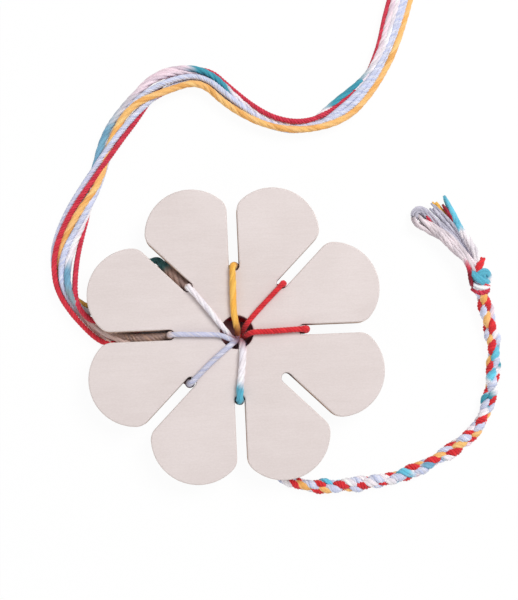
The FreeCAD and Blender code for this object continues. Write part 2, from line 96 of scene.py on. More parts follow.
# Each yarn's make, and
# slot: the number of its slot, from the right against the clock
# seat: how far outward and to the side of SLOT_SEAT it turns down
# lean, foot: how far to the side its foot lies in the slot, and its height
# taut: its share of thickness over the disc
# bunch: from and to how many points past its seat it bunches up, and its thickness there
# coil: its angle in the ring of yarns round the coil's middle, or None in the middle
# over, under: its places over the rim of the hole and under the disc
# lane: how far to the inner side and how high it lies at each point of the bundle
YARNS = {
    "north": {
        "make": "yellow", "slot": 2, "seat": (0.5, -0.6), "lean": 0.7, "foot": LOW,
        "taut": 0.95, "bunch": (0.4, 2.6, 1.42), "coil": 0,
        "over": [(0.6, -0.7, 4.4), (0.2, 1.4, 6.9), (-0.4, 3.6, 9.7), (-0.9, 7.1, ON_TOP)],
        "under": [
            (-9.5, 23.0, LOW), (-20.8, 20.6, LOW), (-32.0, 15.6, LOW), (-40.4, 11.2, LOW),
            (-47.4, 10.2, 1.2),
        ],
        "lane": [
            (0.8, 1.2), (-1.4, 1.2), (-1.4, 2.6), (0.0, 4.0), (2.5, 3.6), (-1.4, 2.4), (-1.1, 4.9),
            (2.9, 4.1), (1.5, 3.7), (3.0, 3.5), (1.4, 4.1), (0.7, 4.0), (2.9, 2.8), (2.5, 2.8),
            (2.6, 2.8), (2.6, 2.6), (2.6, 2.6), (2.5, 3.0),
        ],
    },
    "northeast": {
        "make": "red", "slot": 1, "seat": (0.6, 0.3), "lean": 0.8, "foot": HIGH,
        "taut": 1.0, "bunch": (-0.7, 1.7, 1.2), "coil": 180,
        "over": [(1.6, -0.6, 4.4), (2.4, 1.3, 6.9), (3.7, 3.1, 9.7), (7.1, 6.8, ON_TOP)],
        "under": [
            (6.5, 16.9, HIGH), (-3.5, 17.3, HIGH), (-15.0, 18.7, HIGH), (-26.0, 15.6, HIGH),
            (-34.8, 9.9, HIGH), (-41.5, 6.2, 3.4), (-46.5, 5.6, 3.9), (-50.0, 9.4, 4.6),
        ],
        "lane": [
            (2.0, 4.7), (4.0, 3.2), (4.4, 2.2), (3.5, 1.6), (0.0, 1.1), (0.0, 1.1), (0.4, 1.1),
            (1.4, 1.1), (0.9, 1.1), (-0.4, 1.1), (-0.8, 1.1), (-0.6, 1.1), (0.4, 1.1), (-1.8, 1.2),
            (-2.9, 2.6), (-4.4, 2.4), (-4.3, 2.2), (-3.4, 2.8),
        ],
    },
    "east": {
        "make": "red", "slot": 0, "seat": (1.2, -0.1), "lean": 0.2, "foot": LOW,
        "taut": 1.06, "bunch": (-0.8, 1.8, 1.4), "coil": 240,
        "over": [
            (2.0, -1.7, 4.4), (3.0, -1.0, 6.9), (4.2, -0.4, 9.5), (6.3, -0.2, ON_TOP),
            (9.8, -0.3, ON_TOP),
        ],
        "under": [
            (13.5, 4.2, LOW), (3.6, 4.4, LOW), (-8.0, 6.6, LOW), (-19.0, 6.2, LOW),
            (-29.0, 4.2, LOW), (-36.5, 0.0, LOW), (-42.3, -2.1, 2.2), (-48.6, 3.2, 3.2),
        ],
        "lane": [
            (-2.6, 3.4), (-2.9, 3.2), (-3.1, 3.4), (-2.0, 4.2), (0.2, 4.6), (2.2, 3.4), (2.7, 1.8),
            (-2.0, 1.1), (-5.0, 1.9), (-2.6, 3.2), (-2.0, 4.2), (-1.9, 4.2), (-2.7, 2.2),
            (-1.7, 2.2), (-1.0, 1.1), (-0.5, 1.1), (-0.6, 1.1), (-0.9, 1.1),
        ],
    },
    "south": {
        "make": "variegated", "slot": 6, "seat": (0.4, 0.0), "lean": 0.0, "foot": HIGH,
        "taut": 1.06, "bunch": (0.4, 2.6, 1.45), "coil": 120,
        "over": [(1.4, -2.7, 5.4), (1.6, -4.1, 8.6), (1.6, -6.6, ON_TOP), (1.2, -10.8, ON_TOP)],
        "under": [
            (-6.8, -17.6, HIGH), (-13.2, -12.2, HIGH), (-22.0, -7.4, HIGH), (-31.5, -3.2, HIGH),
            (-40.2, 0.6, HIGH), (-46.9, 4.9, 2.4),
        ],
        "lane": [
            (-0.6, 1.2), (-0.9, 1.1), (-1.9, 1.1), (-2.0, 1.1), (-0.9, 1.1), (-4.1, 2.2),
            (-3.6, 2.2), (-3.9, 3.4), (-2.6, 1.5), (-1.6, 1.1), (0.8, 1.1), (-2.0, 1.1),
            (-1.2, 1.3), (-1.8, 2.6), (-1.9, 2.8), (-2.8, 3.0), (-2.7, 3.0), (-1.9, 4.6),
        ],
    },
    "southwest": {
        "make": "lilac", "slot": 5, "seat": (0.9, -0.3), "lean": 0.3, "foot": HIGH,
        "taut": 0.92, "bunch": (0.4, 2.8, 1.6), "coil": 300,
        "over": [
            (0.4, -2.4, 5.0), (-0.8, -3.1, 8.0), (-2.4, -4.2, 9.8), (-4.9, -6.2, ON_TOP),
            (-8.4, -9.1, ON_TOP),
        ],
        "under": [
            (-22.2, -12.0, HIGH), (-30.0, -8.6, HIGH), (-36.6, -5.0, 2.2), (-42.0, -0.4, 1.6),
            (-48.0, 5.2, 1.4),
        ],
        "lane": [
            (-0.8, 2.8), (-0.8, 4.0), (0.1, 4.0), (2.6, 4.1), (2.5, 2.3), (-1.0, 1.3), (-2.0, 3.2),
            (-0.5, 4.1), (-0.7, 4.0), (0.2, 4.1), (0.2, 2.8), (-0.8, 2.7), (1.1, 3.6), (0.9, 3.2),
            (1.2, 2.0), (1.2, 3.0), (1.2, 3.0), (1.2, 2.0),
        ],
    },
    "west": {
        "make": "lilac", "slot": 4, "seat": (0.0, 0.0), "lean": 0.0, "foot": IN_SLOT,
        "taut": 0.86, "bunch": (0.2, 5.4, 1.42), "coil": 60,
        "over": [
            (-0.2, -2.6, 5.4), (-1.4, -2.5, 7.8), (-2.9, -1.9, 9.3), (-4.5, -1.1, 10.2),
            (-6.4, -0.6, ON_TOP), (-10.0, -0.4, ON_TOP),
        ],
        "under": [
            (-28.6, -0.3, HIGH + 1.4), (-34.2, 0.1, HIGH + 0.4), (-39.6, 1.6, HIGH),
            (-45.1, 5.2, 2.9), (-49.8, 8.6, 1.6),
        ],
        "lane": [
            (-2.4, 1.1), (-2.9, 1.1), (-4.1, 1.6), (-3.6, 2.0), (-1.9, 3.0), (0.2, 4.1), (1.7, 3.6),
            (1.2, 2.4), (-0.2, 2.2), (1.4, 2.0), (0.6, 2.0), (0.4, 1.1), (-1.2, 3.7), (-0.4, 3.5),
            (0.2, 3.4), (-0.1, 3.4), (-0.1, 3.4), (0.6, 4.8),
        ],
    },
    "northwest": {
        "make": "variegated", "slot": 3, "seat": (0.0, 0.0), "lean": 0.2, "foot": IN_SLOT,
        "taut": 0.86, "bunch": (0.2, 5.2, 1.42), "coil": None,
        "over": [
            (-1.0, -2.0, 4.6), (-2.4, -1.0, 6.4), (-3.4, 0.4, 8.8), (-5.1, 2.5, 10.2),
            (-7.8, 6.2, ON_TOP),
        ],
        "under": [
            (-18.7, 18.9, HIGH + 1.9), (-22.6, 23.0, HIGH + 0.3), (-25.4, 26.0, HIGH),
            (-30.0, 23.0, HIGH), (-36.0, 18.4, HIGH), (-41.8, 12.2, HIGH), (-47.6, 7.6, 2.8),
        ],
        "lane": [
            (0.5, 4.9), (1.3, 4.2), (2.3, 3.6), (3.0, 2.4), (0.9, 1.4), (-2.4, 1.3), (-3.4, 1.3),
            (-5.3, 2.6), (-3.6, 3.2), (-1.6, 2.9), (-0.9, 2.6), (-0.9, 2.6), (-4.7, 2.5),
            (-2.2, 2.5), (-0.7, 3.2), (-1.5, 3.3), (-1.4, 3.3), (-0.7, 3.3),
        ],
    },
}

# How far below the braid's point a yarn starts, how far before and below its seat it has a point,
# the share of its lean at the lower one, and of the seat's shift outward at its foot
HEAD_DEPTH = 2.6
SEAT_BEND = 2.4
SEAT_LEAN = 0.6
FOOT_SHIFT = 0.4
# The points to a quarter turn of the coil, the radius of the ring of yarns round its middle, and
# that ring's turn from point to point
COIL_STEPS = 4
COIL_RING = 2.3
COIL_TWIST = 6


def polar(radius, degrees, height):
    angle = math.radians(degrees)
    return np.array([radius * math.cos(angle), radius * math.sin(angle), height])


def strand_points(yarn):
    """From the braid's head over the rim of the hole, along the top and down through the slot."""
    angle = SLOT_ANGLE * yarn["slot"]
    across = polar(1, angle - 90, 0)
    out, side = yarn["seat"]
    seat = polar(SLOT_SEAT + out, angle, ON_TOP) + across * side
    before = seat - polar(SEAT_BEND, angle, 0)
    after = seat - np.array([0, 0, SEAT_BEND]) + across * SEAT_LEAN * (yarn["lean"] - side)
    foot = polar(SLOT_SEAT + FOOT_SHIFT * out, angle, yarn["foot"]) + across * yarn["lean"]
    over = [np.array(place) for place in yarn["over"]]
    return [HEAD - np.array([0, 0, HEAD_DEPTH]), *over, before, seat, after, foot]


def unit_rows(vectors):
    """Each row's vector at a length of one."""
    return vectors / np.linalg.norm(vectors, axis=1)[:, None]


def inner_side(line):
    """The direction to the inner side at each point of a flat line."""
    ahead = np.empty_like(line)
    ahead[1:-1] = line[2:] - line[:-2]
    ahead[0], ahead[-1] = line[1] - line[0], line[-1] - line[-2]
    return np.cross(unit_rows(ahead), (0, 0, 1))


def coil_middle():
    """The coil's middle line past the last point of the bundle, a quarter turn at a time."""
    last, before = np.array(BUNDLE[-1]), np.array(BUNDLE[-2])
    ahead = (last - before) / np.linalg.norm(last - before)
    start = last + ahead * 2 * BUNDLE_RADIUS
    outward = np.array([ahead[1], -ahead[0]])
    pitch = 2 * BUNDLE_RADIUS + COIL_GAP
    radius, step = COIL_RADIUS, pitch / 4
    centre = start - outward * radius
    points = [start]
    for _ in range(round(4 * COIL_LOOPS)):
        for part in range(1, COIL_STEPS + 1):
            turned = math.pi / 2 * part / COIL_STEPS
            points.append(centre + radius * (outward * math.cos(turned) + ahead * math.sin(turned)))
        outward, ahead = ahead, -outward
        centre = centre + outward * step
        radius -= step
    return np.array(points)


def yarn_route(yarn):
    """A yarn's route over the disc, under it, in its lane of the bundle and round the coil, and the
    numbers of its points at its seat and at the start of the bundle."""
    points = strand_points(yarn)
    seat = len(points) - 3
    points += [np.array(place) for place in yarn["under"]]
    first = len(points)
    middle = np.concatenate([np.array(BUNDLE), coil_middle()])
    middle = np.column_stack([middle, np.zeros(len(middle))])
    for i, (centre, inner) in enumerate(zip(middle, inner_side(middle))):
        if i < len(yarn["lane"]):
            offset, height = yarn["lane"][i]
        elif yarn["coil"] is None:
            offset, height = 0, BUNDLE_RADIUS
        else:
            turned = math.radians(yarn["coil"] + COIL_TWIST * (i - len(BUNDLE)))
            offset = COIL_RING * math.cos(turned)
            height = BUNDLE_RADIUS + COIL_RING * math.sin(turned)
        points.append(centre + inner * offset + np.array([0, 0, height]))
    return np.array(points), seat, first


# The steps from one point of a route to the next on the line of its spline
SPLINE_STEPS = 10


def spline_line(name, route):
    """The line in metres of the spline that a route's points control."""
    curve = bpy.data.curves.new(name + "_line", "CURVE")
    curve.dimensions = "3D"
    curve.resolution_u = SPLINE_STEPS
    spline = curve.splines.new("NURBS")
    spline.points.add(len(route) - 1)
    for point, place in zip(spline.points, np.asarray(route) * MM):
        point.co = (*place, 1)
    spline.order_u = 3
    spline.use_endpoint_u = True
    holder = bpy.data.objects.new(name + "_line", curve)
    mesh = bpy.data.meshes.new_from_object(holder)
    line = np.array([v.co for v in mesh.vertices])
    bpy.data.objects.remove(holder)
    bpy.data.curves.remove(curve)
    bpy.data.meshes.remove(mesh)
    return line


def on_line(point):
    """Where a point of a route, counted from 0, is on the line of its spline."""
    return SPLINE_STEPS * max(0, point - 0.5)


def read_off(wanted, at, values):
    """Numbers or rows of them given at some places, read off at the wanted ones."""
    if np.ndim(values) == 1:
        return np.interp(wanted, at, values)
    return np.column_stack([np.interp(wanted, at, column) for column in np.transpose(values)])


def evenly(line, spacing):
    """Points evenly along a line, and how many of its points and what length lie before each."""
    steps = np.linalg.norm(np.diff(line, axis=0), axis=1)
    run = np.concatenate([[0], np.cumsum(steps)])
    count = max(4, round(run[-1] / spacing))
    wanted = np.linspace(0, run[-1], count + 1)
    return read_off(wanted, run, line), np.interp(wanted, run, np.arange(len(line))), wanted


# A direction that no route starts in
ASIDE = (0.3, 0.2, 1)


def frames(points):
    """Two unit vectors across the way ahead at each point, carried along without turning."""
    ahead = unit_rows(np.gradient(points, axis=0))
    across = np.empty_like(ahead)
    start = np.cross(ahead[0], ASIDE)
    across[0] = start / np.linalg.norm(start)
    for i in range(1, len(points)):
        carried = across[i - 1] - ahead[i] * np.dot(across[i - 1], ahead[i])
        across[i] = carried / np.linalg.norm(carried)
    return across, np.cross(ahead, across)


def wander(run, amount, scale, seed):
    """A smooth random number up to the amount either way, with a new value every scale."""
    numbers = random.Random(seed)
    scale = scale * MM
    knots = np.arange(0, run[-1] + 3 * scale, scale)
    values = [numbers.uniform(-1, 1) for _ in knots]
    return amount * np.interp(run, knots, values)


def srgb(*colour):
    """A colour from 0 to 255 in each channel as the linear one that nodes take."""
    shares = [c / 255 for c in colour]
    return tuple(c / 12.92 if c <= 0.04045 else ((c + 0.055) / 1.055) ** 2.4 for c in shares)


RED = srgb(228, 48, 56)
CRIMSON = srgb(216, 56, 80)
# Painted shade on the red yarns where they turn down into their slots
RED_IN_PAINTED_SHADE = srgb(150, 36, 40)
MAROON = srgb(142, 28, 48)
ORANGE = srgb(248, 190, 116)
GOLD = srgb(250, 190, 86)
# Painted shade on the golden yarn where it turns down into its slot
GOLD_IN_PAINTED_SHADE = srgb(176, 126, 84)
LILAC = srgb(210, 214, 238)
SOFT_LILAC = srgb(203, 203, 225)
CUT_LILAC = srgb(198, 195, 209)
# Painted shade on the lilac yarn where it turns down into its slot
LILAC_IN_PAINTED_SHADE = srgb(118, 88, 94)
WHITE = srgb(246, 238, 243)
CUT_WHITE = srgb(232, 219, 224)
PINK = srgb(238, 214, 224)
GREY = srgb(200, 200, 208)
# Pale brownish painted shade on lilac and white yarns at the slots and under the disc's edge
PALE_PAINTED_SHADE = srgb(222, 196, 188)
# Deeper painted shade on lilac and white yarns down in and under the two left-hand slots
SHADED = srgb(178, 150, 140)
TURQUOISE = srgb(110, 202, 228)
BLUE = srgb(120, 172, 200)
KNOT_BLUE = srgb(88, 174, 198)
TEAL = srgb(62, 154, 174)
# The variegated yarn's teal, darkened by painted shade under the disc
TEAL_WITH_PAINTED_SHADE = srgb(64, 118, 122)
# Painted shade on the variegated yarn where it turns down into its slot
TEAL_IN_PAINTED_SHADE = srgb(70, 92, 98)
# The variegated yarn's teal, greyed by painted shade where it comes out from under the disc
TEAL_GREYED_BY_PAINTED_SHADE = srgb(134, 156, 164)

# Each make of yarn: its plies, the length of one turn of them, its radius, and the share of their
# full depth that its grooves have
MAKES = {
    "red": (4, 4.4, 0.92, 0.52),
    "lilac": (5, 6.0, 1.0, 0.42),
    "yellow": (4, 13.0, 1.15, 0.28),
    "variegated": (4, 14.0, 1.14, 0.4),
    "loose": (3, 9.0, 1.0, 0.25),
}
# How each ply's dye differs from the yarn's: a share of its red, green and blue
MARL = {
    "red": [(1.0, 1.0, 1.0), (0.9, 0.8, 0.85), (1.08, 1.25, 1.15), (0.97, 0.95, 1.0)],
    "lilac": [
        (0.95, 0.97, 1.0), (1.14, 1.12, 1.04), (0.9, 0.93, 0.99), (1.1, 1.09, 1.03),
        (0.99, 1.0, 1.01),
    ],
    "yellow": [(1.0, 1.0, 1.0), (1.06, 1.12, 1.3), (0.94, 0.86, 0.72), (1.02, 1.04, 1.1)],
    "variegated": [(1.02, 1.02, 1.02), (0.88, 0.89, 0.92), (1.07, 1.07, 1.06), (1.01, 1.0, 1.01)],
    "loose": [(1.0, 1.0, 1.0), (0.86, 0.86, 0.88), (1.06, 1.06, 1.06)],
}

# The dye at places along each yarn: 0 is the first point of the bundle, 1 the next, and those
# before it count down from -1. The darker stops where a yarn turns down into its slot, under the
# disc and at its edge are painted shade
DYES = {
    "north": [
        (-7.6, GOLD), (-7.1, GOLD_IN_PAINTED_SHADE), (-5.6, GOLD_IN_PAINTED_SHADE), (-4.8, GOLD), (-0.5, GOLD), (0.5, ORANGE),
    ],
    "northeast": [
        (-10.3, RED), (-9.7, RED_IN_PAINTED_SHADE), (-8.6, RED_IN_PAINTED_SHADE), (-8, RED), (-5, RED), (0, CRIMSON),
    ],
    "east": [(-10.3, RED), (-9.7, RED_IN_PAINTED_SHADE), (-8.6, RED_IN_PAINTED_SHADE), (-8, RED), (-5, RED), (6, CRIMSON)],
    "south": [
        (-10.4, WHITE), (-10.05, KNOT_BLUE), (-8.5, KNOT_BLUE), (-8, TEAL_IN_PAINTED_SHADE), (-6.6, TEAL_IN_PAINTED_SHADE),
        (-5, PINK), (-3, PALE_PAINTED_SHADE), (-0.5, PALE_PAINTED_SHADE), (1, PINK), (3.3, GREY), (4.1, BLUE),
        (5.3, BLUE), (6, GREY), (7, PINK), (11, WHITE), (16, PINK), (22, WHITE), (36, TURQUOISE),
        (44, WHITE),
    ],
    "southwest": [
        (-7.6, SOFT_LILAC), (-7.0, LILAC_IN_PAINTED_SHADE), (-5.8, LILAC_IN_PAINTED_SHADE), (-4, PALE_PAINTED_SHADE), (-0.8, PALE_PAINTED_SHADE),
        (0.3, LILAC),
    ],
    "west": [
        (-8.6, SOFT_LILAC), (-7.4, PALE_PAINTED_SHADE), (-6.6, SHADED), (-3, SHADED), (-2, PALE_PAINTED_SHADE),
        (-0.6, LILAC),
    ],
    "northwest": [
        (-12, WHITE), (-9.8, WHITE), (-9.0, PALE_PAINTED_SHADE), (-8.0, SHADED), (-6.3, SHADED),
        (-5.9, TEAL_WITH_PAINTED_SHADE), (-3.5, TEAL_WITH_PAINTED_SHADE), (-2, WHITE), (-1.3, PALE_PAINTED_SHADE), (-0.6, GREY),
        (0.0, TEAL_GREYED_BY_PAINTED_SHADE), (0.5, TEAL_GREYED_BY_PAINTED_SHADE), (0.8, BLUE), (1.3, BLUE), (1.9, WHITE), (4, WHITE), (5, GREY),
        (6, PINK), (7.8, PINK), (8.1, TEAL), (9.0, TEAL), (9.4, WHITE), (11.9, WHITE),
        (12.35, TEAL), (13.3, TEAL), (13.8, WHITE), (26, PINK), (38, TURQUOISE), (46, WHITE),
    ],
}
# How far the dye's places in the plies lie apart, in steps of the line
DYE_STAGGER = 3.0
# The share of its red, green and blue that a yarn keeps as painted shade in the hole, and the
# points of its route between which that painted shade ends
HOLE_SHADE = (0.4, 0.2, 0.24)
HOLE_FADE = (1.7, 2.9)
# The brightest that a dye gets in any channel
BRIGHTEST = 0.95

# How much each varies in a yarn, and over what length
UNEVEN_TWIST = (0.9, 7)
UNEVEN_SWELL = (0.06, 3)
UNEVEN_GROOVE = (0.3, 5)
UNEVEN_DYE = (0.1, 4)
# The points in a ring round a yarn, the distance to the next ring, and how near the table they come
RING = 24
RING_SPACING = 0.45
TABLE_GAP = 0.02


def ply_section(plies):
    """Plies side by side in a yarn of radius 1: the angles, and how far each lies in a groove."""
    ply = math.sin(math.pi / plies) / (1 + math.sin(math.pi / plies))
    centre = 1 - ply
    angles = np.arange(RING) * 2 * math.pi / RING
    nearest = (angles + math.pi / plies) % (2 * math.pi / plies) - math.pi / plies
    inside = np.maximum(ply**2 - (centre * np.sin(nearest)) ** 2, 0)
    return angles, 1 - (centre * np.cos(nearest) + np.sqrt(inside))


def tube_mesh(name, rings):
    """A mesh through rings of points, closed at both ends."""
    count, around = rings.shape[:2]
    first = np.arange(around)
    after = (first + 1) % around
    faces = []
    for i in range(count - 1):
        low, high = i * around, (i + 1) * around
        faces.append(np.column_stack([low + first, low + after, high + after, high + first]))
    faces = np.concatenate(faces).tolist()
    faces.append(first[::-1].tolist())
    faces.append(((count - 1) * around + first).tolist())
    mesh = bpy.data.meshes.new(name)
    mesh.from_pydata(rings.reshape(-1, 3), [], faces)
    mesh.shade_smooth()
    return mesh


def shaded_in_hole(stops, start, end):
    """A yarn's dyes: the first in painted shade up to the start, and as it is from the end on."""
    dye = stops[0][1]
    shaded = tuple(share * c for share, c in zip(HOLE_SHADE, dye))
    return [(start, shaded), (end, dye), *(stop for stop in stops if stop[0] > end)]


def ply_dyes(make, stops, counts, run, angles, seed):
    """The dye at each point of a yarn's rings, uneven along plies and staggered between them."""
    plies = MAKES[make][0]
    ply = np.floor((angles / (2 * math.pi) * plies + 0.5) % plies).astype(int)
    at, dyes = zip(*stops)
    painted = np.empty((len(counts), RING, 3))
    for i in range(plies):
        uneven = 1 + wander(run, *UNEVEN_DYE, seed + i)[:, None]
        along = read_off(counts + DYE_STAGGER * (i / plies - 0.5), at, dyes)
        painted[:, ply == i] = np.minimum(along * uneven * MARL[make][i], BRIGHTEST)[:, None]
    return painted.reshape(-1, 3)


def paint(mesh, dye, ply_place, run, shade):
    """Keeps each point's dye, ply place and painted groove shade in the mesh for the material."""
    colours = mesh.attributes.new("dye", "FLOAT_COLOR", "POINT")
    colours.data.foreach_set("color", np.column_stack([dye, np.ones(len(dye))]).ravel())
    places = mesh.attributes.new("fibre", "FLOAT_VECTOR", "POINT")
    places.data.foreach_set("vector", np.column_stack([ply_place, run, shade]).ravel())


def shaped_section(places, counts, swell, outward, wide, deep):
    """A yarn's directions across and outward, and its half sizes in them."""
    at = np.arange(len(outward))
    ahead = unit_rows(np.gradient(places, axis=0))
    above = read_off(counts, at, outward)
    above = unit_rows(above - ahead * np.sum(above * ahead, axis=1)[:, None])
    width, height = (read_off(counts, at, size) * swell for size in (wide, deep))
    return np.cross(above, ahead), above, width, height


def yarn_mesh(name, line, make, stops, seed, shape=None, sizes=None):
    """A plied yarn along a line. A shape gives the direction outward and the half width and depth
    across and along it at each point of the line, and sizes give its thickness at some."""
    plies, lay, radius, depth = MAKES[make]
    places, counts, run = evenly(line, RING_SPACING * MM)
    angles, groove = ply_section(plies)
    twist = 2 * math.pi * run / (lay * MM) + wander(run, *UNEVEN_TWIST, seed)
    swell = 1 + wander(run, *UNEVEN_SWELL, seed + 1)
    if sizes is not None:
        swell *= np.interp(counts, *zip(*sizes))
    if shape is None:
        across, above = frames(places)
        width = height = radius * MM * swell
    else:
        across, above, width, height = shaped_section(places, counts, swell, *shape)
    angle = angles + twist[:, None]
    reach = 1 - depth * groove * (1 + wander(run, *UNEVEN_GROOVE, seed + 2)[:, None])
    rings = places[:, None] + (
        (width[:, None] * reach * np.cos(angle))[..., None] * across[:, None]
        + (height[:, None] * reach * np.sin(angle))[..., None] * above[:, None]
    )
    rings[..., 2] = np.maximum(rings[..., 2], TABLE_GAP * MM)
    mesh = tube_mesh(name, rings)
    dye = ply_dyes(make, stops, counts, run, angles, seed + 3)
    # Painted shade: the deeper a point lies in a groove between plies, the darker
    shade = 1 - depth * groove / groove.max()
    count = len(places)
    paint(mesh, dye, np.tile(angles, count), np.repeat(run, RING), np.tile(shade, count))
    return mesh, places


def put(tree, socket, value):
    """Gives a socket its value, or links another node's output to it."""
    if isinstance(value, bpy.types.NodeSocket):
        tree.links.new(value, socket)
    elif socket.type == "RGBA":
        socket.default_value = (*value, 1)
    else:
        socket.default_value = value


def node(tree, kind, inputs=(), **settings):
    """A new node with its settings, and its inputs by name or number."""
    made = tree.nodes.new("ShaderNode" + kind)
    for name, value in settings.items():
        setattr(made, name, value)
    for name, value in dict(inputs).items():
        put(tree, made.inputs[name], value)
    return made


def math_node(tree, operation, *values):
    return node(tree, "Math", enumerate(values), operation=operation).outputs["Value"]


def vector_node(tree, operation, *values, output="Vector"):
    return node(tree, "VectorMath", enumerate(values), operation=operation).outputs[output]


def ramp(tree, value, low, high, to_low, to_high, kind="SMOOTHSTEP"):
    """A value spread from one range to another, and held inside it."""
    names = ("Value", "From Min", "From Max", "To Min", "To Max")
    inputs = zip(names, (value, low, high, to_low, to_high))
    return node(tree, "MapRange", inputs, interpolation_type=kind).outputs[0]


def stretched_noise(tree, place, stretch, detail):
    scaled = vector_node(tree, "MULTIPLY", place, stretch)
    inputs = {"Vector": scaled, "Scale": 1.0, "Detail": detail, "Roughness": 0.6}
    return node(tree, "TexNoise", inputs).outputs["Fac"]


def distance(tree, place, centre, stretch):
    """How far a place is from a centre, each way stretched by its own share."""
    moved = vector_node(tree, "SUBTRACT", place, centre)
    scaled = vector_node(tree, "MULTIPLY", moved, stretch)
    return vector_node(tree, "LENGTH", scaled, output="Value")


# A mix node's sockets for its share, two colours and result
MIX_INPUTS = (0, 6, 7)
MIX_RESULT = 2


def mixed_colour(tree, share, first, second):
    inputs = zip(MIX_INPUTS, (share, first, second))
    return node(tree, "Mix", inputs, data_type="RGBA").outputs[MIX_RESULT]


def shaded_material(name, values):
    """A new material, its tree and its shader with the given values."""
    material = bpy.data.materials.new(name)
    material.use_nodes = True
    tree = material.node_tree
    shader = tree.nodes["Principled BSDF"]
    for socket, value in values.items():
        shader.inputs[socket].default_value = value
    return material, tree, shader


def finish_shader(tree, shader, colour, bumps, strength, depth):
    """Links a shader's colour and its bumps."""
    inputs = {"Strength": strength, "Distance": depth, "Height": bumps}
    tree.links.new(node(tree, "Bump", inputs).outputs[0], shader.inputs["Normal"])
    tree.links.new(colour, shader.inputs["Base Color"])


YARN_SHADER = {
    "Roughness": 0.85, "Specular IOR Level": 0.25, "Sheen Weight": 0.25, "Sheen Roughness": 0.5,
}
# The fibres' repeats round and along the yarn and their detail, and the bumps' strength and depth
FIBRES = ((6.0, 1500.0, 0.0), 3.0)
FIBRE_BUMP = (0.5, 0.0001)
# The spans over which the fibres' noise and the painted groove shade show, and the light they give
FIBRE_LIGHT = (0.3, 0.7, 0.86, 1.12)
GROOVE_PAINTED_SHADE = (0.0, 0.9, 0.6, 1.0)


def yarn_material():
    """Dyed yarn: fine fibres along its plies, and painted shade in the grooves between them."""
    material, tree, shader = shaded_material("plied_yarn", YARN_SHADER)
    dye = node(tree, "Attribute", attribute_name="dye").outputs["Color"]
    place = node(tree, "Attribute", attribute_name="fibre").outputs["Vector"]
    fibres = stretched_noise(tree, place, *FIBRES)
    # The painted shade of the grooves, kept in the mesh
    shade = node(tree, "SeparateXYZ", {"Vector": place}).outputs["Z"]
    light = math_node(
        tree, "MULTIPLY",
        ramp(tree, shade, *GROOVE_PAINTED_SHADE, kind="LINEAR"),
        ramp(tree, fibres, *FIBRE_LIGHT, kind="LINEAR"),
    )
    lit = node(tree, "VectorMath", {0: dye, "Scale": light}, operation="SCALE")
    finish_shader(tree, shader, lit.outputs["Vector"], fibres, *FIBRE_BUMP)
    return material


YARN = yarn_material()


def add_piece(name, mesh):
    mesh.materials.append(YARN)
    piece = add_object(name, mesh)
    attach(piece, "root")
    return piece


def thickness(yarn, seat):
    """A yarn's thickness: taut over the disc, bunched up in the slot, and then its own."""
    taut = yarn["taut"]
    start, end, bunched = yarn["bunch"]
    stages = [(0, taut), (seat + start, taut), (seat + start + 1, bunched)]
    stages += [(seat + end - 1, bunched), (seat + end, 1)]
    return [(on_line(point), size) for point, size in stages]


def add_yarns():
    """The seven yarns, each one piece from the braid to the end of the coil."""
    for number, (name, yarn) in enumerate(YARNS.items()):
        make = yarn["make"]
        route, seat, first = yarn_route(yarn)
        stops = [(on_line(first + at), dye) for at, dye in DYES[name]]
        stops = shaded_in_hole(stops, *(on_line(point) for point in HOLE_FADE))
        line, sizes = spline_line(name, route), thickness(yarn, seat)
        mesh, places = yarn_mesh(name + "_yarn", line, make, stops, 10 * number, sizes=sizes)
        piece = add_piece(name + "_yarn", mesh)
        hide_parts("strand_" + name, "under_" + name, "free_" + name, "yarn_coil")


# The braid's places from its point in the hole, under the disc and round to the knot
BRAID = [
    (0.8, -1.4, 5.6), (0.8, -1.4, 3.6), (1.2, -3.2, 2.3), (2.6, -9.2, FLAT), (5.0, -20.0, FLAT),
    (6.4, -31.0, FLAT), (8.6, -40.4, FLAT), (13.4, -47.2, FLAT), (21.0, -50.5, FLAT),
    (31.0, -50.8, FLAT), (41.7, -50.2, FLAT), (52.0, -48.8, FLAT), (61.2, -45.2, FLAT),
    (70.0, -40.8, FLAT), (78.0, -35.6, FLAT), (83.1, -27.0, FLAT), (85.5, -17.4, FLAT),
    (86.5, -7.2, FLAT + 0.05 * KNOT_LIFT), (85.0, 2.6, FLAT + 0.35 * KNOT_LIFT),
    (83.2, 11.0, FLAT + 0.9 * KNOT_LIFT), (82.6, 14.0, FLAT + 1.0 * KNOT_LIFT),
]

# The strands in the order in which they lie over one another from the head down. Once in as many
# moves as there are strands, each bows out to the surface and dives into the middle again.
STRAND_ORDER = ["east", "northeast", "northwest", "north", "southwest", "west", "south"]
STRANDS = len(STRAND_ORDER)
# The length of braid to a move, the moves before its head, the moves that a crossing takes, and the
# distance from point to point of a strand
LAY_RISE = 1.1
LAY_START = 3.78
CROSSING_MOVES = 0.45
BRAID_STEP = 0.25
# In degrees: from strand to strand, where the first one faces, how far a strand leans over in a
# crossing, and how far it comes round in its moves
STRAND_STEP = 3 * 360 / STRANDS
FACING = -118.0
CROSSING = 75.0
SPIRAL = 51.4
# How far out a strand bows, how sharply, and how far out it still is when it dives
BOW_RADIUS = 1.5
BOW_POWER = 1.4
CORE_RADIUS = 0.2
# A strand's half width and half depth when it dives and when it bows out
STRAND_WIDE = (0.5, 1.35)
STRAND_DEEP = (0.4, 0.95)
YELLOW_SIZE = 0.86
# The share of its width that the braid has at its head, and the length to grow by its full width
HEAD_SHARE = 0.3
HEAD_TAPER = 6
# The points over which a strand's way across the braid is evened out
SMOOTHING = 7
